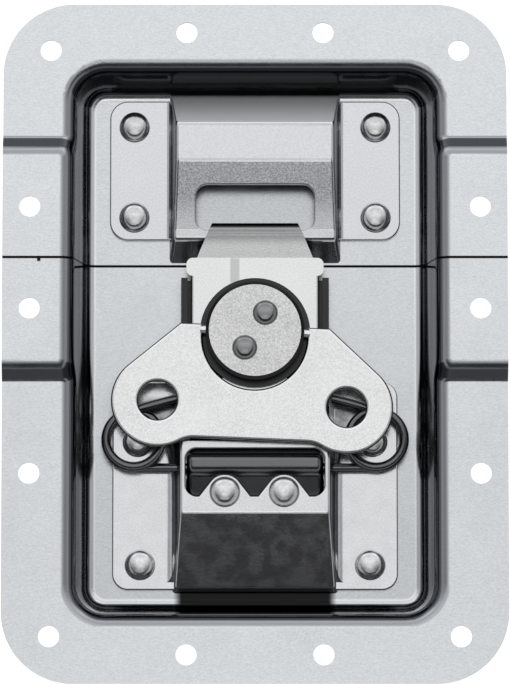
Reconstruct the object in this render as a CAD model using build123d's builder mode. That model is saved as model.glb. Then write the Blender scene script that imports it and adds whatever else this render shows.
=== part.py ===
from build123d import *
import math
import os

# Recessed butterfly case latch, closed and lying on its back.
# X runs across the dish, +Y towards the lid half, +Z out of the case.
# Z = 0 is the end of the rivet tails; heights written "_h" are measured from the top of the dish floor.

os.makedirs("parts", exist_ok=True)

# ---------------------------------------------------------------- dish
dish_width = 127.0
dish_length = 172.0
dish_corner = 18.0
dish_sheet = 1.2
tail_height = 1.2
well_depth = 14.0
well_floor_x = 42.6
well_floor_y = 65.9
well_floor_corner = 5.0
well_draft = 11.8
floor_bend = 3.0
mouth_bend = 4.0
band_rise = 2.5
band_half_length = 27.15
band_run = 3.8
band_foot_bend = 1.5
band_crest_bend = 4.6
seam_y = 21.1
seam_edge = 0.2
screw_hole_r = 2.65
corner_holes = (51.5, 74.2)
end_holes = (17.2, 78.75)
side_hole_x = 56.65
band_hole_pitch = 25.8
side_hole_y = -33.2

# ---------------------------------------------------------------- brackets and rivets
bracket_sheet = 1.5
sheared_edge = 0.35
pierced_edge = 0.3
side_bend = 1.0
buried = 4.0
rivet_hole_play = 0.05
rivet_shank_r = 2.0
rivet_tail_r = 3.1
rivet_head_r = 3.9
rivet_head_height = 2.4
rivet_crown_radius = 9.0
rivet_crown_share = 0.56
block_rivet_height = 1.5

keeper_half_width = 36.8
keeper_y = (27.6, 63.3)
keeper_corner = 4.6
keeper_base_x = 21.7
keeper_top_x = 20.0
keeper_flare = 1.4
keeper_height = 9.1
keeper_ramp_end = (64.2, 1.8)
keeper_crest_y = (47.0, 56.6)
keeper_bar_y = (27.2, 29.6)
keeper_bar_height = 5.5
keeper_bar_rise = 0.1
keeper_toe_y = 21.9
keeper_bends = (2.5, 5.0, 2.0, 2.0)
keeper_slot_x = 15.0
keeper_slot_y = (29.5, 41.0)
keeper_slot_corner = 3.0
keeper_bend_clearance = 0.15
keeper_rivets = [(x, y) for y in (56.6, 33.4) for x in (-30.6, 30.6)]

latch_half_width = 36.0
latch_y = (-61.4, -8.65)
latch_corner = 4.0
block_base_x = 20.9
block_top_x = 18.9
block_flare = 2.6
block_height = 7.2
block_front_y = -24.3
block_crest_y = -42.4
block_toe_y = -62.2
block_toe_height = 1.8
block_bends = (2.5, 2.2)
tab_inner_x = 20.0
window_x = 17.6
window_y = (-38.3, -26.1)
window_corner = 3.0
lobe_r = 4.4
lobe_slope = 52.0
block_rivets = [(-7.6, -37.2), (7.3, -37.2)]
upper_latch_rivet = (29.6, -23.9)
lower_latch_rivet = (29.0, -55.1)
latch_rivets = [(side * x, y) for x, y in (upper_latch_rivet, lower_latch_rivet) for side in (-1, 1)]
cover_sheet = 0.8
cover_base_x = 17.7
cover_top_x = 16.9
cover_front_y = -27.2
cover_height = 7.0
cover_crest = (-31.3, 6.9)
cover_foot = (-32.7, 5.5)
cover_back = (-40.8, 3.4)
cover_bends = (1.8, 2.2, 2.0, 1.2)
cover_round = 1.5
cover_lip_h = 4.3
cover_lip_y = -33.5
cover_pad_r = 3.4
cover_pad_under = 2.6

# ---------------------------------------------------------------- spring
wire_r = 1.2
run_y = -30.7
run_h = 2.9
coil_x = 30.6
coil_r = 7.0
coil_pitch = 2.6
coil_leave_angle = 105.0
leg_end_x = 19.4

# ---------------------------------------------------------------- guide channel and hook plate
channel_sheet = 1.0
rail_inner_x = 17.0
rail_outer_x = 18.65
rail_height = 7.0
rail_y = (-22.5, 17.2)
rail_low_height = 4.6
rail_slope_y = (-19.5, -15.5)
tongue_half_width = 16.4
knuckle_play = 0.05
knuckle_half_width = 15.5

hook_sheet = 1.5
hook_top_h = 7.6
hook_half_width = 16.2
hook_head_half_width = 17.3
hook_head_corner = 1.6
hook_shoulder_gap = 0.4
hook_crease_y = 22.2
hook_tail_y = -14.5
hook_flange_low_h = 1.95
hook_flange_end_y = 15.0
hook_edge = 0.8
hook_crease_r = 0.4
hook_crest_h = 8.85
hook_curl_r = 3.0
hook_tip_y = 31.3
hook_tip_h = 4.6
hook_root_half_width = 14.65
hook_tip_half_width = 10.75

# ---------------------------------------------------------------- rotor
rotor_y = 3.0
rotor_turn = -2.3
slide_travel = 8.0
cam_offset = slide_travel / 2
cam_r = 6.5
cam_play = 0.95
cam_end_play = 0.4
cam_window_corner = 2.5
post_r = 2.2
post_tail_r = 2.6
post_shoulder_r = 4.0
post_head_r = 3.2
bore_play = 0.05
head_play = 0.2
plate_play = 0.2
face_play = 0.1
lower_disc_r = 13.9
lower_disc_sheet = 0.8
cap_r = 12.4
cap_face_r = 11.6
cap_sheet = 1.8
skirt_r = 11.0
rotor_rivet_offset = (2.4, 4.5)
rotor_rivet_r = 3.15
rotor_rivet_height = 1.2
rotor_shank_r = 1.4

# ---------------------------------------------------------------- handle
handle_sheet = 2.0
handle_bar_r = 1.3
handle_bar_play = 0.1
handle_bar_h = 10.4
tab_top_v = 1.5
tab_corner_u = 18.8
tab_corner_r = 4.0
notch_r = 13.1
notch_v = -1.6
finger_hole = (23.8, -18.4)
finger_hole_r = 4.9
lobe_radius = 11.7
handle_bottom_v = -27.5
handle_waist_r = 7.0
handle_edge = 0.75

# ---------------------------------------------------------------- levels
floor_back = tail_height
floor_top = floor_back + dish_sheet
flange_top = floor_top + well_depth
band_top = flange_top + band_rise
hook_under_h = hook_top_h - hook_sheet
disc_under_h = hook_top_h + plate_play
disc_top_h = disc_under_h + lower_disc_sheet
cam_under_h = hook_under_h - plate_play
cap_under_h = handle_bar_h + handle_bar_r + handle_bar_play
cap_top_h = cap_under_h + cap_sheet
channel_under_h = run_h - wire_r - knuckle_play - channel_sheet
channel_top_h = channel_under_h + channel_sheet
rotor_angle = math.radians(rotor_turn)


def save(piece, node):
    """Label a finished piece and write it as its own node."""
    piece.part.label = node
    export_step(piece.part, f"parts/{node}.step")


def level(height):
    """Horizontal plane at a height above the dish floor."""
    return Plane.XY.offset(floor_top + height)


def side_section():
    """Section along the latch, in (Y, Z) with Z measured from the dish floor."""
    return Plane(origin=(0, 0, floor_top), x_dir=(0, 1, 0), z_dir=(1, 0, 0))


def rotor_plane(height):
    """Plane of the rotor and its handle, turned to their closed position."""
    across = (math.cos(rotor_angle), math.sin(rotor_angle), 0)
    return Plane(origin=(0, rotor_y, floor_top + height), x_dir=across, z_dir=(0, 0, 1))


# ================================================================ dish
def band_points(drop):
    """Corners of the flange section, the sheet's top or its back when drop is the sheet."""
    slope = math.atan2(band_rise, band_run)
    shift = drop * math.tan(slope / 2)
    foot = band_half_length + band_run - shift
    crest = band_half_length - shift
    low = flange_top - drop
    high = band_top - drop
    end_minus = seam_y + dish_length / 2 + 5
    end_plus = dish_length / 2 - seam_y + 5
    return [
        (seam_y - end_minus, low),
        (seam_y - foot, low),
        (seam_y - crest, high),
        (seam_y + crest, high),
        (seam_y + foot, low),
        (seam_y + end_plus, low),
    ]


def flange_solid(base):
    """Flange section run across the dish, down to a base level or one sheet thick."""
    outer = band_points(0)
    with BuildPart() as flange:
        with BuildSketch(Plane.YZ):
            with BuildLine():
                radii = [band_foot_bend, band_crest_bend, band_crest_bend, band_foot_bend]
                FilletPolyline(*outer, radius=radii)
                if base is None:
                    inner = band_points(dish_sheet)
                    back = [
                        band_foot_bend + dish_sheet,
                        band_crest_bend - dish_sheet,
                        band_crest_bend - dish_sheet,
                        band_foot_bend + dish_sheet,
                    ]
                    FilletPolyline(*inner, radius=back)
                    Line(outer[0], inner[0])
                    Line(outer[-1], inner[-1])
                else:
                    Polyline(outer[0], (outer[0][0], base), (outer[-1][0], base), outer[-1])
            make_face()
        extrude(amount=dish_width / 2, both=True)
        with BuildSketch(Plane.XY):
            RectangleRounded(dish_width, dish_length, dish_corner)
        extrude(amount=band_top + 1, mode=Mode.INTERSECT)
    return flange.part


def well_block(half_x, half_y, corner, start, bend):
    """Drafted block with its bottom edge rounded, widening upwards from the start level."""
    with BuildPart() as block:
        with BuildSketch(Plane.XY.offset(start)):
            RectangleRounded(2 * half_x, 2 * half_y, corner)
        extrude(amount=band_top + 4 - start, taper=-well_draft)
        fillet(block.faces().sort_by(Axis.Z)[0].edges(), bend)
    return block.part


def whole_dish():
    """The two pressings as one stamping, before the cut at the seam."""
    draft = math.radians(well_draft)
    wall = dish_sheet / math.cos(draft) - dish_sheet * math.tan(draft)
    outer_x = well_floor_x + wall
    outer_y = well_floor_y + wall
    outside = well_block(outer_x, outer_y, well_floor_corner + wall, floor_back, floor_bend + dish_sheet)
    inside = well_block(well_floor_x, well_floor_y, well_floor_corner, floor_top, floor_bend)
    under_flange = flange_solid(0.0)
    flange = flange_solid(None)
    inner_reach = well_floor_x + well_depth
    with BuildPart() as dish:
        add(outside)
        add(under_flange, mode=Mode.INTERSECT)
        add(flange)
        back_edges = dish.edges().filter_by(
            lambda e: e.center().Z > flange_top - dish_sheet - 0.2
            and e.center().Z < band_top - dish_sheet + 0.2
            and abs(e.center().X) < inner_reach
            and abs(e.center().Y) < well_floor_y + 6
            and e.length > 0.2
        )
        back_edges = back_edges.filter_by(lambda e: min(abs(v.Z - flange_top) for v in e.vertices()) > 0.01)
        fillet(back_edges, mouth_bend - dish_sheet)
        add(inside, mode=Mode.SUBTRACT)
        mouth = dish.edges(Select.LAST).filter_by(lambda e: e.center().Z > flange_top - 0.3)
        fillet(mouth, mouth_bend)
    return dish.part


def screw_hole_centres():
    """Centres of the fourteen screw holes round the flange."""
    centres = [(sx * x, sy * y) for x, y in (corner_holes, end_holes) for sx in (-1, 1) for sy in (-1, 1)]
    half = band_hole_pitch / 2
    centres += [(sx * side_hole_x, y) for y in (seam_y - half, seam_y + half, side_hole_y) for sx in (-1, 1)]
    return centres


def seam_corners(half):
    """The long edges of a half's cut face, where it meets the front and the back of the sheet."""
    cut = half.faces().sort_by(lambda f: abs(f.center().Y - seam_y))[0]
    return cut.edges().filter_by(lambda e: e.length > dish_sheet + 0.1)


def build_dish():
    """Both halves of the dish, drilled and parted at the seam."""
    stamping = whole_dish()
    with BuildPart() as drilled:
        add(stamping)
        with BuildSketch(Plane.XY.offset(flange_top - 2 * dish_sheet)):
            with Locations(*screw_hole_centres()):
                Circle(screw_hole_r)
        extrude(amount=band_rise + 4 * dish_sheet, mode=Mode.SUBTRACT)
        with BuildSketch(Plane.XY):
            with Locations(*keeper_rivets, *latch_rivets):
                Circle(rivet_shank_r + rivet_hole_play)
        extrude(amount=floor_top + 1, mode=Mode.SUBTRACT)
    with BuildPart() as dish_upper:
        add(drilled.part)
        split(bisect_by=Plane(origin=(0, seam_y, 0), z_dir=(0, 1, 0)), keep=Keep.TOP)
        fillet(seam_corners(dish_upper), seam_edge)
    save(dish_upper, "dish_upper")
    with BuildPart() as dish_lower:
        add(drilled.part)
        split(bisect_by=Plane(origin=(0, seam_y, 0), z_dir=(0, 1, 0)), keep=Keep.BOTTOM)
        fillet(seam_corners(dish_lower), seam_edge)
    save(dish_lower, "dish_lower")


# ================================================================ pressed bridges
def pressed_block(profile, bends, base_x, top_x, top_h, round_over, inset):
    """Solid under a pressing: a (Y, Z) profile with rounded folds between sides that lean inwards."""
    lean = (base_x - top_x) / top_h
    above = top_h + buried
    slant = inset * math.hypot(1, lean)
    low_x = base_x + buried * lean - slant
    high_x = base_x - above * lean - slant
    with BuildPart() as body:
        with BuildSketch(side_section()):
            with BuildLine():
                folded = FilletPolyline(*profile, radius=bends)
                Line(folded @ 1, folded @ 0)
            make_face()
            if inset:
                offset(amount=-inset, kind=Kind.INTERSECTION)
        extrude(amount=dish_width / 2, both=True)
        with BuildSketch(Plane(origin=(0, 0, floor_top), x_dir=(1, 0, 0), z_dir=(0, -1, 0))):
            with BuildLine():
                Polyline((-low_x, -buried), (low_x, -buried), (high_x, above), (-high_x, above), close=True)
            make_face()
        extrude(amount=dish_length / 2, both=True, mode=Mode.INTERSECT)
        crown = body.edges().filter_by(
            lambda e: e.center().Z > floor_top and abs(e.tangent_at(0.5).X) < 0.7
        )
        fillet(crown, round_over)
    return body.part


def tab_plate(half_width, reach, corner):
    """Bracket's flat plate with its upper rim rolled over by the shears."""
    with BuildPart() as plate:
        with BuildSketch(level(0)):
            with Locations((0, sum(reach) / 2)):
                RectangleRounded(2 * half_width, reach[1] - reach[0], corner)
        extrude(amount=bracket_sheet)
        fillet(plate.faces().sort_by(Axis.Z)[-1].edges(), sheared_edge)
    return plate.part


def foot_flares(shape, reach, radius):
    """Concave bends between a block's sides and its tabs, ending below the block's own surface."""
    base_x, top_x, top_h = shape[2:]
    lean = math.atan2(base_x - top_x, top_h)
    foot_x = base_x - bracket_sheet * math.tan(lean)
    run = radius * math.tan((math.pi / 2 - lean) / 2)
    wall_x = foot_x - run * math.sin(lean)
    wall_h = bracket_sheet + run * math.cos(lean)
    buried_x = wall_x - bracket_sheet / 2
    buried_h = bracket_sheet / 2
    with BuildPart() as flares:
        with BuildSketch(Plane(origin=(0, 0, floor_top), x_dir=(1, 0, 0), z_dir=(0, -1, 0))):
            with BuildLine():
                Polyline((buried_x, buried_h), (foot_x + run, buried_h), (foot_x + run, bracket_sheet),
                         (wall_x, wall_h), (buried_x, wall_h), close=True)
            make_face()
            with Locations((foot_x + run, bracket_sheet + radius)):
                Circle(radius, mode=Mode.SUBTRACT)
            mirror(about=Plane.YZ)
        extrude(amount=dish_length / 2, both=True)
        with BuildSketch(level(0)):
            with Locations((0, sum(reach) / 2)):
                Rectangle(dish_width, reach[1] - reach[0] - 2 * sheared_edge)
        extrude(amount=wall_h, mode=Mode.INTERSECT)
        with BuildSketch(side_section()):
            with BuildLine():
                folded = FilletPolyline(*shape[0], radius=shape[1])
                Line(folded @ 1, folded @ 0)
            make_face()
            offset(amount=-side_bend, kind=Kind.INTERSECTION)
        extrude(amount=dish_width / 2, both=True, mode=Mode.INTERSECT)
    return flares.part


def build_keeper_bracket():
    """Keeper: two tabs and a bridge with the slot whose near edge is the bar."""
    ramp_y, ramp_h = keeper_ramp_end
    crest_low, crest_high = keeper_crest_y
    bar_low, bar_high = keeper_bar_y
    root_height = keeper_bar_height + keeper_bar_rise
    rise = (keeper_height - ramp_h) / (ramp_y - crest_high)
    toe_rise = keeper_bar_height / (bar_low - keeper_toe_y)
    profile = [
        (ramp_y + (ramp_h + buried) / rise, -buried),
        (crest_high, keeper_height),
        (crest_low, keeper_height),
        (bar_high, root_height),
        (bar_low, keeper_bar_height),
        (keeper_toe_y - buried / toe_rise, -buried),
    ]
    shape = (profile, keeper_bends, keeper_base_x, keeper_top_x, keeper_height)
    outside = pressed_block(*shape, side_bend, 0)
    inside = pressed_block(*shape, side_bend / 2, bracket_sheet)
    incline = (keeper_height - root_height) / (crest_low - bar_high)
    with BuildPart() as keeper_bracket:
        add(tab_plate(keeper_half_width, keeper_y, keeper_corner))
        add(outside)
        add(inside, mode=Mode.SUBTRACT)
        add(foot_flares(shape, keeper_y, keeper_flare))
        with BuildSketch(level(-buried)):
            Rectangle(dish_width, dish_length)
        extrude(amount=buried, mode=Mode.SUBTRACT)
        with BuildSketch(level(0)):
            with Locations((0, ramp_y + dish_length / 2)):
                Rectangle(dish_width, dish_length)
        extrude(amount=keeper_height, mode=Mode.SUBTRACT)
        with BuildSketch(level(0)):
            with Locations((0, ramp_y)):
                Rectangle(dish_width, 2 * (ramp_y - well_floor_y + floor_bend - sheared_edge))
        extrude(amount=keeper_bend_clearance, mode=Mode.SUBTRACT)
        with BuildSketch(level(bracket_sheet)):
            with Locations((0, sum(keeper_slot_y) / 2)):
                RectangleRounded(2 * keeper_slot_x, keeper_slot_y[1] - keeper_slot_y[0], keeper_slot_corner)
        extrude(amount=keeper_height, mode=Mode.SUBTRACT)
        slot_rim = keeper_bracket.edges(Select.LAST).filter_by(
            lambda e: e.center().Z - floor_top > root_height - pierced_edge + incline * (e.center().Y - bar_high)
            and e.center().Y > bar_high
        )
        fillet(slot_rim, pierced_edge)
        with BuildSketch(level(0)):
            with Locations(*keeper_rivets):
                Circle(rivet_shank_r + rivet_hole_play)
        extrude(amount=bracket_sheet, mode=Mode.SUBTRACT)
    save(keeper_bracket, "keeper_bracket")


def build_latch_bracket():
    """Latch bracket: two tabs and a block with a finger window and a ramp down to its toe."""
    behind_front = block_front_y + dish_length / 4
    profile = [
        (behind_front, -buried),
        (behind_front, block_height),
        (block_crest_y, block_height),
        (block_toe_y, block_toe_height),
        (block_toe_y, -buried),
    ]
    shape = (profile, (side_bend, *block_bends), block_base_x, block_top_x, block_height)
    outside = pressed_block(*shape, side_bend, 0)
    inside = pressed_block(*shape, side_bend / 2, bracket_sheet)
    with BuildPart() as tabs:
        add(tab_plate(latch_half_width, latch_y, latch_corner))
        with BuildSketch(level(0)):
            with Locations((0, sum(latch_y) / 2)):
                Rectangle(2 * tab_inner_x, dish_length)
        extrude(amount=bracket_sheet, mode=Mode.SUBTRACT)
    with BuildPart() as latch_bracket:
        add(outside)
        add(inside, mode=Mode.SUBTRACT)
        with BuildSketch(level(-buried)):
            Rectangle(dish_width, dish_length)
        extrude(amount=buried, mode=Mode.SUBTRACT)
        with BuildSketch(level(0)):
            with Locations((0, block_front_y + dish_length / 2)):
                Rectangle(dish_width, dish_length)
        extrude(amount=2 * block_height, mode=Mode.SUBTRACT)
        add(tabs.part)
        add(foot_flares(shape, (latch_y[0], block_front_y), block_flare))
        with BuildSketch(level(block_height - 2 * bracket_sheet)):
            with Locations((0, sum(window_y) / 2)):
                RectangleRounded(2 * window_x, window_y[1] - window_y[0], window_corner)
            for x, y in block_rivets:
                with Locations((x, y)):
                    Circle(lobe_r, mode=Mode.SUBTRACT)
                with BuildLine():
                    Polyline(*lobe_flare(x, y), close=True)
                make_face(mode=Mode.SUBTRACT)
        extrude(amount=3 * bracket_sheet, mode=Mode.SUBTRACT)
        window_rim = latch_bracket.edges(Select.LAST).filter_by(
            lambda e: abs(e.center().Z - floor_top - block_height) < 0.01)
        fillet(window_rim, pierced_edge)
        with BuildSketch(level(0)):
            with Locations(*latch_rivets):
                Circle(rivet_shank_r + rivet_hole_play)
        extrude(amount=bracket_sheet, mode=Mode.SUBTRACT)
        with BuildSketch(level(block_height - 2 * bracket_sheet)):
            with Locations(*block_rivets):
                Circle(rivet_shank_r + rivet_hole_play)
        extrude(amount=3 * bracket_sheet, mode=Mode.SUBTRACT)
        with BuildSketch(Plane.YZ):
            with Locations((run_y, floor_top + run_h)):
                Circle(wire_r + 3 * knuckle_play)
        extrude(amount=block_base_x + 1, both=True, mode=Mode.SUBTRACT)
    save(latch_bracket, "latch_bracket")


def lobe_flare(x, y):
    """Sloping shoulders that join a rivet's lobe to the window's lower edge."""
    slope = math.radians(lobe_slope)
    out = lobe_r * math.sin(slope)
    up = lobe_r * math.cos(slope)
    drop = y + up - window_y[0]
    foot = out + drop / math.tan(slope)
    return [(x - out, y + up), (x - foot, window_y[0]), (x + foot, window_y[0]), (x + out, y + up)]


def build_hinge_strap():
    """Pressed cover over the spring's run, riveted under the block's top on two raised pads."""
    profile = [
        (cover_front_y, -buried),
        (cover_front_y, cover_height),
        cover_crest,
        cover_foot,
        cover_back,
        (cover_back[0], -buried),
    ]
    shape = (profile, cover_bends, cover_base_x, cover_top_x, cover_height)
    outside = pressed_block(*shape, cover_round, 0)
    inside = pressed_block(*shape, sheared_edge, cover_sheet)
    pad_height = block_height - bracket_sheet - cover_pad_under
    with BuildPart() as hinge_strap:
        add(outside)
        add(inside, mode=Mode.SUBTRACT)
        with BuildSketch(level(-buried)):
            Rectangle(dish_width, dish_length)
        extrude(amount=buried + cover_pad_under, mode=Mode.SUBTRACT)
        with BuildSketch(level(0)):
            with Locations((0, cover_lip_y + dish_length / 2)):
                Rectangle(dish_width, dish_length)
        extrude(amount=cover_lip_h, mode=Mode.SUBTRACT)
        with BuildSketch(level(cover_pad_under)):
            with Locations(*block_rivets):
                Circle(cover_pad_r)
        extrude(amount=pad_height)
        with BuildSketch(level(cover_pad_under)):
            with Locations(*block_rivets):
                Circle(rivet_shank_r + rivet_hole_play)
        extrude(amount=pad_height, mode=Mode.SUBTRACT)
    save(hinge_strap, "hinge_strap")


# ================================================================ rivets
def build_rivet(node, x, y, seat, head_r, head_height, shank_r, grip, tail_r, tail_h):
    """Dome-head rivet seated at a level, its grip below the seat, with a flat clenched tail."""
    base = Plane(origin=(x, y, seat), x_dir=(1, 0, 0), z_dir=(0, -1, 0))
    crown_x = rivet_crown_share * head_r
    crown_z = head_height - rivet_crown_radius + math.sqrt(rivet_crown_radius ** 2 - crown_x ** 2)
    with BuildPart() as rivet:
        with BuildSketch(base):
            with BuildLine():
                crown = TangentArc((0, head_height), (crown_x, crown_z), tangent=(1, 0))
                TangentArc((crown_x, crown_z), (head_r, 0), tangent=crown % 1)
                outline = [(head_r, 0), (shank_r, 0), (shank_r, -grip)]
                if tail_h:
                    outline += [(tail_r, -grip), (tail_r, -grip - tail_h), (0, -grip - tail_h)]
                else:
                    outline += [(0, -grip)]
                outline += [(0, head_height)]
                Polyline(*outline)
            make_face()
        revolve(axis=Axis((x, y, seat), (0, 0, 1)))
    save(rivet, node)


def build_rivets():
    """Every rivet of the fixed body."""
    tab_seat = floor_top + bracket_sheet
    tab_grip = bracket_sheet + dish_sheet
    for group, centres in (("keeper", keeper_rivets), ("latch", latch_rivets)):
        for number, (x, y) in enumerate(centres, start=1):
            build_rivet(f"{group}_rivet_{number}", x, y, tab_seat, rivet_head_r, rivet_head_height,
                        rivet_shank_r, tab_grip, rivet_tail_r, tail_height)
    block_grip = block_height - cover_pad_under
    for number, (x, y) in enumerate(block_rivets, start=1):
        build_rivet(f"block_rivet_{number}", x, y, floor_top + block_height, rivet_head_r,
                    block_rivet_height, rivet_shank_r, block_grip, rivet_tail_r, tail_height)


# ================================================================ spring
def spring_leg(side):
    """Start and end of the leg that leaves the top of a coil for the rail."""
    leave = math.radians(coil_leave_angle)
    top = floor_top + run_h + coil_climb()
    start_x = coil_x - coil_r * math.cos(leave)
    start_y = run_y + coil_r + coil_r * math.sin(leave)
    end_y = start_y + (start_x - leg_end_x) * math.tan(leave - math.pi / 2)
    return Vector(side * start_x, start_y, top), Vector(side * leg_end_x, end_y, top)


def coil_climb():
    """Rise of the wire from the straight run to the leg."""
    turn = 360 + 270 - coil_leave_angle
    return coil_pitch * turn / 360


def build_torsion_spring():
    """Wire spring: a straight run through the block, a coil round each upper rivet and two legs."""
    run_z = floor_top + run_h
    with BuildPart() as torsion_spring:
        with BuildSketch(Plane.YZ):
            with Locations((run_y, run_z)):
                Circle(wire_r)
        extrude(amount=coil_x, both=True)
        for side in (-1, 1):
            coil_plane = Plane(origin=(side * coil_x, run_y + coil_r, run_z), x_dir=(0, -1, 0), z_dir=(0, 0, 1))
            with BuildLine(coil_plane) as coil:
                Helix(coil_pitch, coil_climb(), coil_r, lefthand=(side < 0))
            with BuildSketch(Plane(origin=coil.line @ 0, z_dir=coil.line % 0)):
                Circle(wire_r)
            sweep(path=coil.line, is_frenet=True)
            start, end = spring_leg(side)
            with BuildSketch(Plane(origin=start, z_dir=end - start)):
                Circle(wire_r)
            extrude(amount=(end - start).length)
            with Locations((side * coil_x, run_y, run_z), start):
                Sphere(wire_r)
    save(torsion_spring, "torsion_spring")


# ================================================================ moving frame
def build_guide_channel():
    """Channel hinged on the spring's straight run, with a rail on each side of the hook plate."""
    base_length = rail_y[1] - rail_y[0]
    with BuildPart() as guide_channel:
        with BuildSketch(side_section()):
            with BuildLine():
                Polyline(
                    (rail_y[0], channel_under_h), (rail_y[1], channel_under_h), (rail_y[1], rail_height),
                    (rail_slope_y[1], rail_height), (rail_slope_y[0], rail_low_height),
                    (rail_y[0], rail_low_height), close=True)
            make_face()
        extrude(amount=rail_outer_x, both=True)
        with BuildSketch(level(channel_top_h)):
            with Locations((0, sum(rail_y) / 2)):
                Rectangle(2 * rail_inner_x, base_length)
        extrude(amount=rail_height, mode=Mode.SUBTRACT)
        bends = guide_channel.edges().filter_by(Axis.Y).group_by(Axis.Z)[0]
        fillet(bends, rail_outer_x - rail_inner_x - 0.2)
        with BuildSketch(level(channel_under_h)):
            with Locations((0, (run_y + rail_y[0] + 1) / 2)):
                Rectangle(2 * tongue_half_width, rail_y[0] + 1 - run_y)
        extrude(amount=channel_sheet)
        with BuildSketch(side_section()):
            with Locations((run_y, run_h)):
                Circle(wire_r + knuckle_play + channel_sheet)
        extrude(amount=knuckle_half_width, both=True)
        with BuildSketch(side_section()):
            with Locations((run_y, run_h)):
                Circle(wire_r + knuckle_play)
        extrude(amount=rail_outer_x, both=True, mode=Mode.SUBTRACT)
        with BuildSketch(level(channel_under_h)):
            with Locations((0, rotor_y)):
                Circle(post_tail_r + rivet_hole_play)
        extrude(amount=channel_sheet, mode=Mode.SUBTRACT)
    save(guide_channel, "guide_channel")


def build_pivot_post():
    """Post riveted into the channel, with a shoulder below the cam and a head in the disc."""
    levels = [
        (post_tail_r, channel_under_h, channel_top_h),
        (post_shoulder_r, channel_top_h, cam_under_h - face_play),
        (post_r, cam_under_h - face_play, disc_under_h + face_play),
        (post_head_r, disc_under_h + face_play, disc_top_h - face_play),
    ]
    with BuildPart() as pivot_post:
        for radius, low, high in levels:
            with BuildSketch(level(low)):
                with Locations((0, rotor_y)):
                    Circle(radius)
            extrude(amount=high - low)
    save(pivot_post, "pivot_post")


def build_hook_plate():
    """Sliding plate with turned-down sides, a cam window and a hook curled over the keeper's bar."""
    slope = (hook_crest_h - hook_top_h) / (hook_tip_y - hook_curl_r - hook_crease_y)
    corner_h = hook_top_h + slope * (hook_tip_y - hook_crease_y)
    angle = math.atan(slope)
    under_crease = hook_crease_y + hook_sheet * math.tan(angle / 2)
    inner_y = hook_tip_y - hook_sheet
    inner_h = hook_under_h + slope * (inner_y - under_crease)
    shoulder_y = rail_y[1] + hook_shoulder_gap
    with BuildPart() as hook_plate:
        with BuildSketch(side_section()):
            with BuildLine():
                FilletPolyline(
                    (hook_tail_y, hook_top_h), (hook_crease_y, hook_top_h), (hook_tip_y, corner_h),
                    (hook_tip_y, hook_tip_h), radius=[hook_crease_r, hook_curl_r])
                FilletPolyline(
                    (hook_tail_y, hook_under_h), (under_crease, hook_under_h), (inner_y, inner_h),
                    (inner_y, hook_tip_h), radius=[hook_crease_r + hook_sheet, hook_curl_r - hook_sheet])
                Line((hook_tail_y, hook_top_h), (hook_tail_y, hook_under_h))
                Line((hook_tip_y, hook_tip_h), (inner_y, hook_tip_h))
            make_face()
        extrude(amount=hook_head_half_width, both=True)
        with BuildSketch(level(0)):
            with Locations((0, (hook_tail_y + shoulder_y + 1) / 2)):
                Rectangle(2 * hook_half_width, shoulder_y + 1 - hook_tail_y)
            with Locations((0, (shoulder_y + hook_crease_y) / 2)):
                RectangleRounded(2 * hook_head_half_width, hook_crease_y - shoulder_y, hook_head_corner)
            with BuildLine():
                Polyline((-hook_root_half_width, hook_crease_y - 1), (hook_root_half_width, hook_crease_y - 1),
                         (hook_root_half_width, hook_crease_y), (hook_tip_half_width, hook_tip_y),
                         (-hook_tip_half_width, hook_tip_y), (-hook_root_half_width, hook_crease_y), close=True)
            make_face()
        extrude(amount=corner_h + 1, mode=Mode.INTERSECT)
        flange_length = hook_flange_end_y - hook_tail_y
        for side in (-1, 1):
            with BuildSketch(level(hook_flange_low_h)):
                with Locations((side * (hook_half_width - hook_sheet / 2), (hook_tail_y + hook_flange_end_y) / 2)):
                    Rectangle(hook_sheet, flange_length)
            extrude(amount=hook_under_h - hook_flange_low_h)
        with BuildSketch(level(hook_under_h)):
            with Locations((0, rotor_y - cam_offset)):
                RectangleRounded(2 * (cam_offset + cam_r + cam_end_play), 2 * (cam_r + cam_play), cam_window_corner)
        extrude(amount=hook_sheet, mode=Mode.SUBTRACT)
        rims = hook_plate.edges().filter_by(Axis.Y).filter_by(
            lambda e: abs(e.center().Z - floor_top - hook_top_h) < 0.01
            and abs(abs(e.center().X) - hook_half_width) < 0.01
        )
        fillet(rims, hook_edge)
    save(hook_plate, "hook_plate")


# ================================================================ rotor
def build_rotor_cam():
    """Lower disc with the offset cam that drives the hook plate."""
    with BuildPart() as rotor_cam:
        with BuildSketch(level(disc_under_h)):
            with Locations((0, rotor_y)):
                Circle(lower_disc_r)
        extrude(amount=lower_disc_sheet)
        with BuildSketch(level(cam_under_h)):
            with Locations((0, rotor_y - cam_offset)):
                Circle(cam_r)
        extrude(amount=disc_under_h - cam_under_h)
        with BuildSketch(level(cam_under_h)):
            with Locations((0, rotor_y)):
                Circle(post_r + bore_play)
        extrude(amount=disc_under_h - cam_under_h, mode=Mode.SUBTRACT)
        with BuildSketch(level(disc_under_h)):
            with Locations((0, rotor_y)):
                Circle(post_head_r + head_play)
        extrude(amount=lower_disc_sheet, mode=Mode.SUBTRACT)
        with BuildSketch(rotor_plane(disc_under_h)):
            with Locations(*rotor_rivet_centres()):
                Circle(rotor_shank_r + rivet_hole_play)
        extrude(amount=lower_disc_sheet, mode=Mode.SUBTRACT)
    save(rotor_cam, "rotor_cam")


def rotor_rivet_centres():
    """The two rivets, opposite each other about the rotor's axis."""
    u, v = rotor_rivet_offset
    return [(u, v), (-u, -v)]


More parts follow.
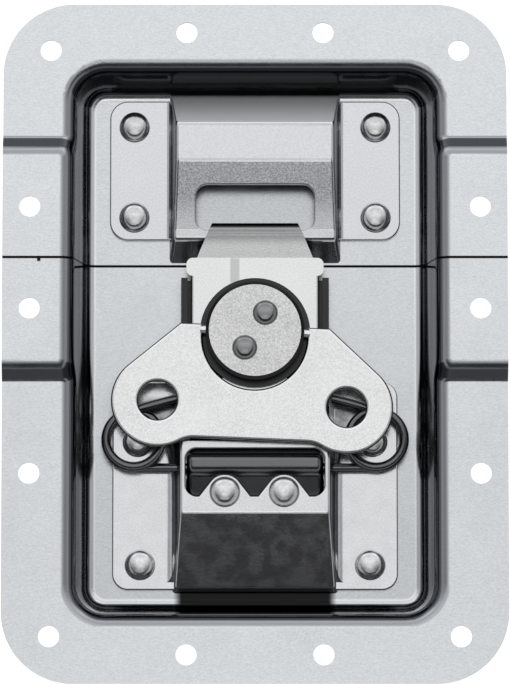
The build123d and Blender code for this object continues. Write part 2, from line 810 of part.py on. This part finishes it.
def build_rotor_cap():
    """Top disc with a bevelled rim and two feet that leave a slot for the handle's bar."""
    with BuildPart() as rotor_cap:
        with BuildSketch(rotor_plane(disc_top_h)):
            Circle(skirt_r)
            Rectangle(2 * lower_disc_r, 2 * (handle_bar_r + handle_bar_play), mode=Mode.SUBTRACT)
        extrude(amount=cap_under_h - disc_top_h)
        with BuildSketch(rotor_plane(cap_under_h)):
            Circle(cap_r)
        extrude(amount=cap_sheet)
        chamfer(rotor_cap.edges().group_by(Axis.Z)[-1], cap_r - cap_face_r)
        with BuildSketch(rotor_plane(disc_top_h)):
            with Locations(*rotor_rivet_centres()):
                Circle(rotor_shank_r + rivet_hole_play)
        extrude(amount=cap_top_h - disc_top_h, mode=Mode.SUBTRACT)
    save(rotor_cap, "rotor_cap")


def build_rotor_rivets():
    """Rivets that clamp the two discs over the handle's bar."""
    seat_plane = rotor_plane(cap_top_h)
    grip = cap_top_h - disc_under_h
    for number, (u, v) in enumerate(rotor_rivet_centres(), start=1):
        seat = seat_plane.from_local_coords(Vector(u, v, 0))
        build_rivet(f"rotor_rivet_{number}", seat.X, seat.Y, seat.Z, rotor_rivet_r, rotor_rivet_height,
                    rotor_shank_r, grip, 0, 0)


# ================================================================ handle
def build_butterfly_handle():
    """Flat two-lobed handle; a notch clears the rotor and a round bar crosses it."""
    hole_u, hole_v = finger_hole
    tangent_u = hole_u + lobe_radius * math.cos(math.radians(47))
    tangent_v = hole_v + lobe_radius * math.sin(math.radians(47))
    with BuildPart() as butterfly_handle:
        with BuildSketch(rotor_plane(handle_bar_h - handle_sheet / 2)) as outline:
            with BuildLine():
                Polyline(
                    (-tab_corner_u, tab_top_v), (tab_corner_u, tab_top_v), (tangent_u, tangent_v),
                    (hole_u, handle_bottom_v), (-hole_u, handle_bottom_v), (-tangent_u, tangent_v), close=True)
            make_face()
            with Locations((hole_u, hole_v), (-hole_u, hole_v)):
                Circle(lobe_radius)
            corners = outline.vertices().filter_by(lambda v: rotor_local(v).Y > 0)
            fillet(corners, tab_corner_r)
            waist = outline.vertices().filter_by(
                lambda v: rotor_local(v).Y < handle_bottom_v + 0.1 and abs(rotor_local(v).X) < hole_u)
            fillet(waist, handle_waist_r)
            with Locations((hole_u, hole_v), (-hole_u, hole_v)):
                Circle(finger_hole_r, mode=Mode.SUBTRACT)
            with BuildSketch(mode=Mode.PRIVATE) as notch:
                with Locations((0, notch_v)):
                    Circle(notch_r)
                with Locations((0, notch_v + notch_r)):
                    Rectangle(2 * notch_r, 2 * notch_r)
            add(notch.sketch, mode=Mode.SUBTRACT)
        extrude(amount=handle_sheet)
        rims = butterfly_handle.faces().filter_by(Axis.Z).edges()
        fillet(rims, handle_edge)
        bar_plane = Plane(origin=rotor_plane(handle_bar_h).origin, z_dir=rotor_plane(0).x_dir)
        with BuildSketch(bar_plane):
            Circle(handle_bar_r)
        extrude(amount=notch_r + handle_edge, both=True)
    save(butterfly_handle, "butterfly_handle")


def rotor_local(vertex):
    """Place of a sketch corner in the rotor's own axes."""
    return rotor_plane(handle_bar_h - handle_sheet / 2).to_local_coords(Vector(vertex.X, vertex.Y, vertex.Z))


if __name__ == "__main__":
    build_dish()
    build_keeper_bracket()
    build_latch_bracket()
    build_hinge_strap()
    build_rivets()
    build_torsion_spring()
    build_guide_channel()
    build_pivot_post()
    build_hook_plate()
    build_rotor_cam()
    build_rotor_cap()
    build_rotor_rivets()
    build_butterfly_handle()
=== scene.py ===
"""A recessed butterfly case latch in zinc-plated steel, finished for display.

The drawn dish carries a keeper bracket in its upper half and a latch bracket in its lower half. Every shape
comes from the frame: this script gives the pieces their finishes and adds the floor, the studio and the camera.
"""

import math

import bmesh
import bpy
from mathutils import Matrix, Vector


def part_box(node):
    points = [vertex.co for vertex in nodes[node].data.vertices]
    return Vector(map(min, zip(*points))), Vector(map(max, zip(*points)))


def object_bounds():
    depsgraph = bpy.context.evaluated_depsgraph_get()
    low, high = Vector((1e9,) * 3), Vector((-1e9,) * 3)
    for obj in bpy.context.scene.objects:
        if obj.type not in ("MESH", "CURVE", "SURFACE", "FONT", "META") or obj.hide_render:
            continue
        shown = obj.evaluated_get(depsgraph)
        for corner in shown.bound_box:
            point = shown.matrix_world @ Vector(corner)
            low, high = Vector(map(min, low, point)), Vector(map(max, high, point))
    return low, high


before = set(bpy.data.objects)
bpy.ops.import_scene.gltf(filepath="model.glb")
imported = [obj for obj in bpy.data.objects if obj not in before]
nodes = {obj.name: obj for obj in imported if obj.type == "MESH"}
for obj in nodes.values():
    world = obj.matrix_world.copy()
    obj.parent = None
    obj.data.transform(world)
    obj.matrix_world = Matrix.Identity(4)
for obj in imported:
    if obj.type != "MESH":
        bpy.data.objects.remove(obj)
cad_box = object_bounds()
MM = 0.001


# ---------------------------------------------------------------- places on the latch

MIDWALL_Z = sum(corner[2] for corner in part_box("dish_lower")) / 2
SEAM_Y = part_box("dish_lower")[1][1]
TOE_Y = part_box("latch_bracket")[0][1]
KEEPER_EDGE_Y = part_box("keeper_bracket")[0][1]
HOOK_END_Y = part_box("hook_plate")[1][1]
HOOK_CREASE_Y = HOOK_END_Y - 9.1 * MM
FINGER_HOLE_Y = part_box("block_rivet_1")[1][1] + 12.5 * MM
FAR = 0.1    # well past every edge of the dish


# ---------------------------------------------------------------- node helpers

class Sheet:
    """A node tree that is filled in one call at a time."""

    def __init__(self, tree):
        self.tree = tree
        self.tree.nodes.clear()

    def add(self, kind, sockets=None, **settings):
        """A new node. Each socket takes a number or another node's output."""
        node = self.tree.nodes.new(kind)
        for name, value in settings.items():
            setattr(node, name, value)
        for name, value in (sockets or {}).items():
            self.feed(node.inputs[name], value)
        return node

    def feed(self, socket, value):
        if isinstance(value, bpy.types.NodeSocket):
            self.tree.links.new(value, socket)
        else:
            socket.default_value = value

    def math(self, operation, *values):
        node = self.add("ShaderNodeMath", operation=operation)
        for socket, value in zip(node.inputs, values):
            self.feed(socket, value)
        return node.outputs[0]

    def product(self, first, *others):
        for other in others:
            first = self.math("MULTIPLY", first, other)
        return first

    def strongest(self, first, *others):
        for other in others:
            first = self.math("MAXIMUM", first, other)
        return first

    def remap(self, value, low, high, to_low, to_high):
        """A smooth step from to_low to to_high as the value goes from low to high."""
        node = self.add("ShaderNodeMapRange", interpolation_type="SMOOTHSTEP")
        for name, item in (("Value", value), ("From Min", low), ("From Max", high),
                           ("To Min", to_low), ("To Max", to_high)):
            self.feed(node.inputs[name], item)
        return node.outputs["Result"]

    def place(self):
        """Where the surface is, in the latch's own frame."""
        return self.add("ShaderNodeTexCoord").outputs["Object"]

    def split(self, vector):
        return self.add("ShaderNodeSeparateXYZ", {"Vector": vector}).outputs

    def noise(self, vector, scale, detail, rough):
        node = self.add("ShaderNodeTexNoise", {"Vector": vector, "Scale": scale,
                                               "Detail": detail, "Roughness": rough})
        return node.outputs["Fac"]

    def drawn_out(self, vector, lengthwise):
        """The same place with its Y scaled, so that a pattern on it runs across the dish."""
        scale = self.add("ShaderNodeCombineXYZ", {"X": 1.0, "Y": lengthwise, "Z": 1.0}).outputs[0]
        return self.add("ShaderNodeMapping", {"Vector": vector, "Scale": scale}).outputs[0]

    def mix(self, share, first, second):
        node = self.add("ShaderNodeMix", data_type="RGBA")
        self.feed(node.inputs[0], share)
        self.feed(node.inputs[6], first)
        self.feed(node.inputs[7], second)
        return node.outputs[2]

    def tint(self, share, colour, tone):
        return self.mix(share, colour, (*tone, 1.0))


def group(name, inputs, outputs):
    """An empty shader group with named number sockets, and its sheet and ends."""
    tree = bpy.data.node_groups.new(name, "ShaderNodeTree")
    for socket, value in inputs:
        made = tree.interface.new_socket(socket, in_out="INPUT", socket_type="NodeSocketFloat")
        made.default_value = value
    for socket in outputs:
        tree.interface.new_socket(socket, in_out="OUTPUT", socket_type="NodeSocketFloat")
    sheet = Sheet(tree)
    return tree, sheet, sheet.add("NodeGroupInput").outputs, sheet.add("NodeGroupOutput").inputs


# ---------------------------------------------------------------- shared effects

def make_spangle():
    """Mottled tone of plated sheet: soft clouds with a fine crystal speckle."""
    tree, sheet, start, end = group(
        "zinc spangle",
        [("Cloud", 60.0), ("Speckle", 900.0), ("Depth", 0.1), ("Lengthwise", 1.0)],
        ["Tone", "Patches"])
    place = sheet.place()
    cloud = sheet.noise(place, start["Cloud"], 3.0, 0.5)
    speckle = sheet.noise(sheet.drawn_out(place, start["Lengthwise"]), start["Speckle"], 2.0, 0.6)
    both = sheet.math("ADD", sheet.product(cloud, 0.3), sheet.product(speckle, 0.7))
    swing = sheet.product(sheet.math("SUBTRACT", both, 0.5), start["Depth"])
    sheet.feed(end["Tone"], sheet.math("ADD", swing, 1.0))
    sheet.feed(end["Patches"], sheet.remap(cloud, 0.35, 0.65, 0.0, 1.0))
    return tree


def make_grain():
    """Height of a satin surface: a fine peened or brushed skin."""
    tree, sheet, start, end = group(
        "satin grain", [("Scale", 2500.0), ("Lengthwise", 1.0)], ["Height"])
    drawn = sheet.drawn_out(sheet.place(), start["Lengthwise"])
    sheet.feed(end["Height"], sheet.noise(drawn, start["Scale"], 2.0, 0.5))
    return tree


def make_wear_and_highlight():
    """Outside corners made bright, as polish from handling and pressing and as a painted highlight."""
    tree, sheet, start, end = group("edge wear and highlight", [("Width", 0.0004)], ["Mask"])
    rounded = sheet.add("ShaderNodeBevel", {"Radius": start["Width"]}, samples=4).outputs[0]
    flat = sheet.add("ShaderNodeNewGeometry").outputs["Normal"]
    agreement = sheet.add("ShaderNodeVectorMath", operation="DOT_PRODUCT")
    sheet.feed(agreement.inputs[0], rounded)
    sheet.feed(agreement.inputs[1], flat)
    turn = sheet.math("SUBTRACT", 1.0, agreement.outputs["Value"])
    broken = sheet.remap(sheet.noise(sheet.place(), 400.0, 3.0, 0.6), 0.3, 0.6, 0.4, 1.0)
    sheet.feed(end["Mask"], sheet.product(sheet.remap(turn, 0.02, 0.2, 0.0, 1.0), broken))
    return tree


def make_lie():
    """How a pressed face lies. Lean is 0 on a level face and 1 on an upright one.

    Gentle is the start of a bend, Steep what lies past it. Lidward faces look towards the lid's end of
    the dish, Nearward faces towards the other end, and Under faces look down.
    """
    tree, sheet, start, end = group(
        "lie of the sheet",
        [("Flat", 0.0015), ("Bent", 0.012), ("Steep", 0.08), ("Upright", 0.2)],
        ["Gentle", "Steep", "Lidward", "Nearward", "Under"])
    facing = sheet.split(sheet.add("ShaderNodeTexCoord").outputs["Normal"])
    lean = sheet.math("SUBTRACT", 1.0, sheet.math("ABSOLUTE", facing["Z"]))
    rising = sheet.remap(lean, start["Flat"], start["Bent"], 0.0, 1.0)
    steep = sheet.remap(lean, start["Steep"], start["Upright"], 0.0, 1.0)
    sheet.feed(end["Gentle"], sheet.product(rising, sheet.math("SUBTRACT", 1.0, steep)))
    sheet.feed(end["Steep"], steep)
    sheet.feed(end["Lidward"], sheet.remap(facing["Y"], 0.35, 0.6, 0.0, 1.0))
    sheet.feed(end["Nearward"], sheet.remap(facing["Y"], -0.18, -0.12, 1.0, 0.0))
    sheet.feed(end["Under"], sheet.remap(facing["Z"], -0.8, -0.3, 1.0, 0.0))
    return tree


SPANGLE = make_spangle()
GRAIN = make_grain()
WEAR_AND_HIGHLIGHT = make_wear_and_highlight()
LIE = make_lie()


# ---------------------------------------------------------------- marks, dirt and painted shade

def strip_mask(sheet, low, high, soft):
    """1 inside a box in X and Y, fading over a soft border outside it."""
    place = sheet.split(sheet.place())
    sides = []
    for axis, start, end in (("X", low[0], high[0]), ("Y", low[1], high[1])):
        sides.append(sheet.remap(place[axis], start - soft, start, 0.0, 1.0))
        sides.append(sheet.remap(place[axis], end, end + soft, 1.0, 0.0))
    return sheet.product(*sides)


def handle_shade(sheet):
    """Painted shadow under the handle's finger holes, broken up by noise."""
    left = strip_mask(sheet, (-29.5 * MM, FINGER_HOLE_Y - 3.0 * MM),
                      (-21.0 * MM, FINGER_HOLE_Y + 6.5 * MM), 2.5 * MM)
    right = strip_mask(sheet, (19.0 * MM, FINGER_HOLE_Y - 3.5 * MM),
                       (27.0 * MM, FINGER_HOLE_Y + 4.5 * MM), 2.5 * MM)
    broken = sheet.remap(sheet.noise(sheet.place(), 350.0, 3.0, 0.6), 0.3, 0.6, 0.6, 1.0)
    return sheet.product(sheet.strongest(left, right), broken, 0.75)


def dish_seam_and_shade(sheet):
    """The dish's dark seam and its chip, with painted shade below the block's toe, in the keeper's slot
    and under the handle's finger holes, and painted shade that darkens the sunk floor and the near end.
    """
    seam = strip_mask(sheet, (-FAR, SEAM_Y - 0.25 * MM), (FAR, SEAM_Y + 0.25 * MM), 0.15 * MM)
    chip = strip_mask(sheet, (-54.6 * MM, SEAM_Y - 0.9 * MM), (-54.0 * MM, SEAM_Y), 0.3 * MM)
    # Painted shadow below the latch block's toe and painted shade in the keeper's slot.
    under_toe = strip_mask(sheet, (-18.5 * MM, TOE_Y - 4.5 * MM), (18.5 * MM, TOE_Y), 3.0 * MM)
    in_slot = strip_mask(sheet, (-16.0 * MM, SEAM_Y + 4.0 * MM), (16.0 * MM, SEAM_Y + 24.0 * MM), 2.0 * MM)
    place = sheet.split(sheet.place())
    # Painted shade: the sunk floor and the near end of the dish are darker.
    sunk = sheet.remap(place["Z"], MIDWALL_Z - MM, MIDWALL_Z, 1.0, 0.0)
    near_end = sheet.remap(place["Y"], -0.08, 0.03, 1.0, 0.0)
    near_end_shade = sheet.product(near_end, sheet.math("ADD", 0.05, sheet.product(sunk, 0.12)))
    dull = sheet.math("ADD", near_end_shade, sheet.product(sunk, 0.06))
    slot_shade = sheet.product(in_slot, sunk, 0.22)
    return sheet.strongest(seam, chip, under_toe, slot_shade, handle_shade(sheet), dull)


def hook_marks_and_shade(sheet):
    """A faint rubbed stripe down from the hook's crease, a scratch at its foot, painted shade on the tip."""
    stripe = strip_mask(sheet, (-6.0 * MM, HOOK_CREASE_Y - 6.2 * MM),
                        (-4.2 * MM, HOOK_CREASE_Y - 0.4 * MM), 0.5 * MM)
    scratch = strip_mask(sheet, (-4.6 * MM, HOOK_CREASE_Y - 6.4 * MM),
                         (-3.6 * MM, HOOK_CREASE_Y - 6.1 * MM), 0.15 * MM)
    # Painted shade: the hook's tip is darker.
    tip = strip_mask(sheet, (-FAR, HOOK_CREASE_Y + 6.5 * MM), (FAR, HOOK_END_Y + MM), 4.0 * MM)
    return sheet.strongest(sheet.product(stripe, 0.3), sheet.product(scratch, 0.8), sheet.product(tip, 0.6))


def shade_speckle(sheet):
    """A fine speckle that breaks up the painted shade on nearward faces, leaving specks of plain plating."""
    return sheet.remap(sheet.noise(sheet.place(), 2600.0, 4.0, 0.75), 0.36, 0.62, 1.0, 0.4)


# ---------------------------------------------------------------- finishes

# Painted highlight on bends, and the colour of polished outside corners.
BRIGHT = (0.95, 0.955, 0.96)
# Painted shade on steep faces: WALL for the dish, SIDE for the brackets and the hook.
WALL = (0.14, 0.15, 0.17)
SIDE = (0.15, 0.15, 0.155)
# Painted shade on the handle's steep faces and on faces that look down.
DIM_SHADE = (0.2, 0.2, 0.2)
# Near-black for real marks and for painted shade and shadow.
STAIN_AND_SHADE = (0.015, 0.015, 0.015)
ROUGH_SPREAD = 0.02


def mottled(sheet, tone, rough, cloud, speckle, depth, lengthwise):
    """The plating's own colour and roughness, before its bends and dirt."""
    spangle = sheet.add("ShaderNodeGroup", node_tree=SPANGLE)
    for socket, value in (("Cloud", cloud), ("Speckle", speckle), ("Depth", depth), ("Lengthwise", lengthwise)):
        spangle.inputs[socket].default_value = value
    scaled = sheet.add("ShaderNodeVectorMath", operation="SCALE")
    scaled.inputs[0].default_value = tone
    sheet.feed(scaled.inputs["Scale"], spangle.outputs["Tone"])
    roughness = sheet.remap(spangle.outputs["Patches"], 0.0, 1.0, rough - ROUGH_SPREAD, rough + ROUGH_SPREAD)
    return scaled.outputs["Vector"], roughness


def paint_bend_highlight(sheet, lie, colour, lip):
    """Painted highlight on bends. Where a lip tone is given, bends above the middle of the dish's wall take
    that tone instead.
    """
    bend = (*BRIGHT, 1.0)
    if lip:
        raised = sheet.remap(sheet.split(sheet.place())["Z"], MIDWALL_Z - MM, MIDWALL_Z + MM, 0.0, 1.0)
        bend = sheet.tint(raised, bend, lip)
    return sheet.mix(lie["Gentle"], colour, bend)


def near_share(sheet, lie, speckled, fade):
    """How much a face that looks to the near end darkens, as painted shade."""
    share = sheet.product(lie["Nearward"], shade_speckle(sheet) if speckled else lie["Steep"])
    if fade:
        along = sheet.split(sheet.place())["Y"]
        share = sheet.product(share, sheet.remap(along, *fade, 0.15, 1.0))
    return share


def add_grain(sheet, lie, scale, lengthwise, relief):
    """The satin skin's normal, calmer on steep faces. Relief is in millimetres."""
    skin = sheet.add("ShaderNodeGroup", node_tree=GRAIN)
    skin.inputs["Scale"].default_value = scale
    skin.inputs["Lengthwise"].default_value = lengthwise
    height = skin.outputs["Height"]
    if lie:
        height = sheet.product(height, sheet.remap(lie["Steep"], 0.0, 1.0, 1.0, 0.25))
    bump = sheet.add("ShaderNodeBump", {"Height": height})
    bump.inputs["Strength"].default_value = 1.0
    bump.inputs["Distance"].default_value = relief * MM
    return bump.outputs[0]


def plated(name, tone, rough=0.22, cloud=90.0, speckle=1400.0, depth=0.12, lengthwise=1.0,
           grain=2200.0, relief=0.01, steep=(0.08, 0.2), shaded=None, steep_rough=None,
           painted_bends=False, lip=None, nearward_shade=None, near_mottled=True, near_fade=None,
           lidward_light_and_shade=None, ramp_rough=None, under=None, stain_and_shade=None, wear_and_highlight_width=None):
    """A plated or polished metal.

    Its mottle is cloud, speckle and depth, its satin skin grain and relief. Tones for faces that lie
    differently are painted shade: shaded for steep faces, then tones for nearward, lidward and downward
    faces, where the lidward one on the keeper is painted light. Bends can take a painted highlight. The
    dirt function puts out a mask of real marks and painted shade, and the wear width is how far outside
    corners are polished and given a painted highlight.
    """
    material = bpy.data.materials.new(name)
    material.use_nodes = True
    sheet = Sheet(material.node_tree)
    out = sheet.add("ShaderNodeOutputMaterial")
    metal = sheet.add("ShaderNodeBsdfPrincipled")
    metal.inputs["Metallic"].default_value = 1.0
    sheet.feed(out.inputs["Surface"], metal.outputs[0])

    colour, roughness = mottled(sheet, tone, rough, cloud, speckle, depth, lengthwise)
    lie = None
    if shaded:
        lying = sheet.add("ShaderNodeGroup", node_tree=LIE)
        lying.inputs["Steep"].default_value, lying.inputs["Upright"].default_value = steep
        lie = lying.outputs
    # Painted highlight on gentle bends.
    if painted_bends:
        colour = paint_bend_highlight(sheet, lie, colour, lip)
    # Painted shade on steep faces.
    if shaded:
        colour = sheet.tint(lie["Steep"], colour, shaded)
    if steep_rough:
        roughness = sheet.remap(lie["Steep"], 0.0, 1.0, roughness, steep_rough)
    # Painted shade on faces that look to the near end.
    if nearward_shade:
        colour = sheet.tint(near_share(sheet, lie, near_mottled, near_fade), colour, nearward_shade)
    # Painted shade on faces that look to the lid's end, and painted light on the keeper's ramp.
    if lidward_light_and_shade:
        colour = sheet.tint(lie["Lidward"], colour, lidward_light_and_shade)
    if ramp_rough:
        roughness = sheet.remap(lie["Lidward"], 0.0, 1.0, roughness, ramp_rough)
    # Painted shade on faces that look down.
    if under:
        colour = sheet.tint(lie["Under"], colour, under)
    # Real marks, painted shade and painted shadow.
    if stain_and_shade:
        colour = sheet.tint(stain_and_shade(sheet), colour, STAIN_AND_SHADE)
    # Polished outside corners, brightened also as a painted highlight.
    if wear_and_highlight_width:
        edge = sheet.add("ShaderNodeGroup", node_tree=WEAR_AND_HIGHLIGHT)
        edge.inputs["Width"].default_value = wear_and_highlight_width
        colour = sheet.tint(edge.outputs["Mask"], colour, BRIGHT)
    sheet.feed(metal.inputs["Base Color"], colour)
    sheet.feed(metal.inputs["Roughness"], roughness)
    sheet.feed(metal.inputs["Normal"], add_grain(sheet, lie, grain, lengthwise, relief))
    return material


# These looks paint shade and light: tones by how faces lie, bend highlights, a dark channel, disc and cover.
LOOKS = {
    "zinc_dish": dict(
        tone=(0.73, 0.75, 0.77), depth=0.6, speckle=1500.0, lengthwise=2.5,
        shaded=WALL, steep_rough=0.1, painted_bends=True, lip=(0.42, 0.43, 0.45),
        lidward_light_and_shade=(0.075, 0.08, 0.09), nearward_shade=(0.03, 0.032, 0.036), near_mottled=False,
        stain_and_shade=dish_seam_and_shade),
    "zinc_keeper": dict(
        tone=(0.71, 0.72, 0.73), rough=0.17, depth=0.45, speckle=2300.0, grain=1900.0, relief=0.008,
        shaded=SIDE, steep=(0.4, 0.6), lidward_light_and_shade=(0.9, 0.9, 0.9), ramp_rough=0.85,
        nearward_shade=(0.25, 0.25, 0.26), near_fade=(KEEPER_EDGE_Y + 8.0 * MM, KEEPER_EDGE_Y + 18.0 * MM),
        wear_and_highlight_width=0.6 * MM),
    "zinc_latch": dict(
        tone=(0.76, 0.765, 0.77), rough=0.17, cloud=260.0, depth=0.45, speckle=2300.0,
        shaded=SIDE, steep=(0.3, 0.6), nearward_shade=(0.5, 0.5, 0.51), stain_and_shade=handle_shade,
        wear_and_highlight_width=0.6 * MM),
    # A near-black tone all over the channel: painted shade.
    "zinc_channel": dict(tone=(0.045, 0.045, 0.046), rough=0.2, shaded=(0.04, 0.04, 0.04)),
    "zinc_hook": dict(
        tone=(0.82, 0.82, 0.815), rough=0.2, depth=0.4, speckle=2200.0,
        shaded=SIDE, under=DIM_SHADE, stain_and_shade=hook_marks_and_shade),
    "zinc_rotor": dict(
        tone=(0.72, 0.715, 0.71), rough=0.32, depth=1.8, speckle=2600.0, grain=3000.0, relief=0.02,
        shaded=(0.06, 0.06, 0.06)),
    "zinc_handle": dict(
        tone=(0.85, 0.85, 0.84), rough=0.26, depth=0.9, speckle=2500.0, grain=3000.0,
        shaded=DIM_SHADE, painted_bends=True, under=DIM_SHADE),
    "rivet_steel": dict(tone=(0.74, 0.74, 0.74), rough=0.24, depth=0.6, relief=0.004),
    "rotor_rivet_steel": dict(tone=(0.28, 0.28, 0.28), rough=0.2, relief=0.004),
    "spring_steel": dict(tone=(0.16, 0.16, 0.165), rough=0.2, relief=0.002),
    # The rotor's lower disc and the hinge cover are dark all over: painted shade.
    "disc_shade": dict(tone=(0.05, 0.05, 0.052), rough=0.3),
    "cover_shade": dict(tone=(0.18, 0.18, 0.185), rough=0.24),
}
OWN_FINISH = {"rotor_cam": "disc_shade", "hinge_strap": "cover_shade"}
FINISHES = {name: plated(name, **look) for name, look in LOOKS.items()}

for name, part in nodes.items():
    slot = part.data.materials[0].name.split(".")[0]
    part.data.materials[0] = FINISHES[OWN_FINISH.get(name, slot)]


# ---------------------------------------------------------------- stage

FLOOR_DROP = 0.06 * MM    # keeps the floor just clear of the rivets' tails
FLOOR_GLOW = 0.85
CAMERA_LEAN = math.radians(7.5)
CAMERA_DISTANCE = 1.5


def make_floor():
    """A white card that stays white round the object and keeps a soft shadow under it."""
    mesh = bpy.data.meshes.new("floor")
    shape = bmesh.new()
    bmesh.ops.create_grid(shape, x_segments=1, y_segments=1, size=3.0)
    bmesh.ops.translate(shape, verts=shape.verts, vec=(0.0, 0.0, -FLOOR_DROP))
    shape.to_mesh(mesh)
    shape.free()
    floor = bpy.data.objects.new("floor", mesh)
    bpy.context.scene.collection.objects.link(floor)

    material = bpy.data.materials.new("white_card")
    material.use_nodes = True
    sheet = Sheet(material.node_tree)
    out = sheet.add("ShaderNodeOutputMaterial")
    card = sheet.add("ShaderNodeBsdfDiffuse")
    card.inputs["Color"].default_value = (0.8, 0.8, 0.8, 1.0)
    path = sheet.add("ShaderNodeLightPath").outputs
    seen = sheet.math("ADD", path["Is Camera Ray"], path["Is Glossy Ray"])
    seen = sheet.math("ADD", seen, path["Is Transmission Ray"])
    glow = sheet.add("ShaderNodeEmission", {"Strength": sheet.product(seen, FLOOR_GLOW)})
    both = sheet.add("ShaderNodeAddShader")
    sheet.feed(both.inputs[0], card.outputs[0])
    sheet.feed(both.inputs[1], glow.outputs[0])
    sheet.feed(out.inputs["Surface"], both.outputs[0])
    mesh.materials.append(material)


def soft_panel(name, centre, width, length, radiance):
    """A soft box that hangs level over the object, with the given brightness of its face."""
    lamp = bpy.data.lights.new(name, "AREA")
    lamp.shape = "RECTANGLE"
    lamp.size = width
    lamp.size_y = length
    lamp.energy = radiance * math.pi * width * length
    holder = bpy.data.objects.new(name, lamp)
    holder.location = centre
    holder.visible_camera = False
    bpy.context.scene.collection.objects.link(holder)


def make_studio():
    """The room round the object.

    A pale band runs round it low down. The ceiling is bright towards the lid's end, ends in darkness
    towards the near end, and has a dark flag each side. Two strips glow high on the side walls.
    """
    world = bpy.data.worlds.new("studio")
    bpy.context.scene.world = world
    world.use_nodes = True
    sheet = Sheet(world.node_tree)
    out = sheet.add("ShaderNodeOutputWorld")
    toward = sheet.split(sheet.add("ShaderNodeTexCoord").outputs["Generated"])
    along, up = toward["Y"], toward["Z"]
    aside = sheet.math("ABSOLUTE", toward["X"])

    band = sheet.product(sheet.remap(up, 0.05, 0.2, 0.2, 1.0), sheet.remap(up, 0.58, 0.70, 1.0, 0.0))
    flags = sheet.product(sheet.remap(aside, 0.2, 0.26, 0.0, 1.0), sheet.remap(along, -0.1, 0.0, 1.0, 0.0))
    ceiling = sheet.product(
        sheet.remap(along, -0.36, -0.30, 0.0, 1.0),
        sheet.remap(up, 0.05, 0.2, 0.0, 1.0),
        sheet.remap(aside, 0.45, 0.75, 1.0, 0.0),
        sheet.math("SUBTRACT", 1.0, flags))
    brightness = sheet.math("ADD", sheet.remap(along, -0.05, 0.35, 0.28, 0.78),
                            sheet.remap(along, -0.24, -0.12, 0.36, 0.0))
    brightness = sheet.product(brightness, sheet.remap(along, 0.8, 0.95, 1.0, 0.3))
    strips = sheet.product(
        sheet.remap(up, 0.60, 0.66, 0.0, 1.0),
        sheet.remap(up, 0.75, 0.80, 1.0, 0.0),
        sheet.remap(aside, 0.4, 0.55, 0.0, 1.0))

    level = sheet.math("ADD", 0.03, sheet.product(band, 0.5))
    level = sheet.math("ADD", level, sheet.product(ceiling, brightness))
    level = sheet.math("ADD", level, sheet.product(strips, 0.35))
    glow = sheet.add("ShaderNodeBackground", {"Strength": level})
    glow.inputs["Color"].default_value = (0.97, 0.985, 1.0, 1.0)
    sheet.feed(out.inputs["Surface"], glow.outputs[0])


def make_camera():
    """A long lens over the middle of the dish, leaning a little towards the near end."""
    aim = Vector((0.0, -0.1 * MM, cad_box[1][2] - 2.5 * MM))
    data = bpy.data.cameras.new("view")
    data.sensor_width = 36.0
    data.lens = 314.5
    data.clip_end = 20.0
    camera = bpy.data.objects.new("view", data)
    camera.location = aim + CAMERA_DISTANCE * Vector((0.0, -math.sin(CAMERA_LEAN), math.cos(CAMERA_LEAN)))
    camera.rotation_euler = (CAMERA_LEAN, 0.0, 0.0)
    bpy.context.scene.collection.objects.link(camera)
    bpy.context.scene.camera = camera


make_floor()
make_studio()
soft_panel("overhead panel", (0.0, 0.11, 1.0), 0.68, 0.60, 0.40)
soft_panel("front strip", (0.0, -0.09, 0.95), 0.30, 0.10, 0.55)
make_camera()
bpy.context.scene.view_settings.view_transform = "Standard"
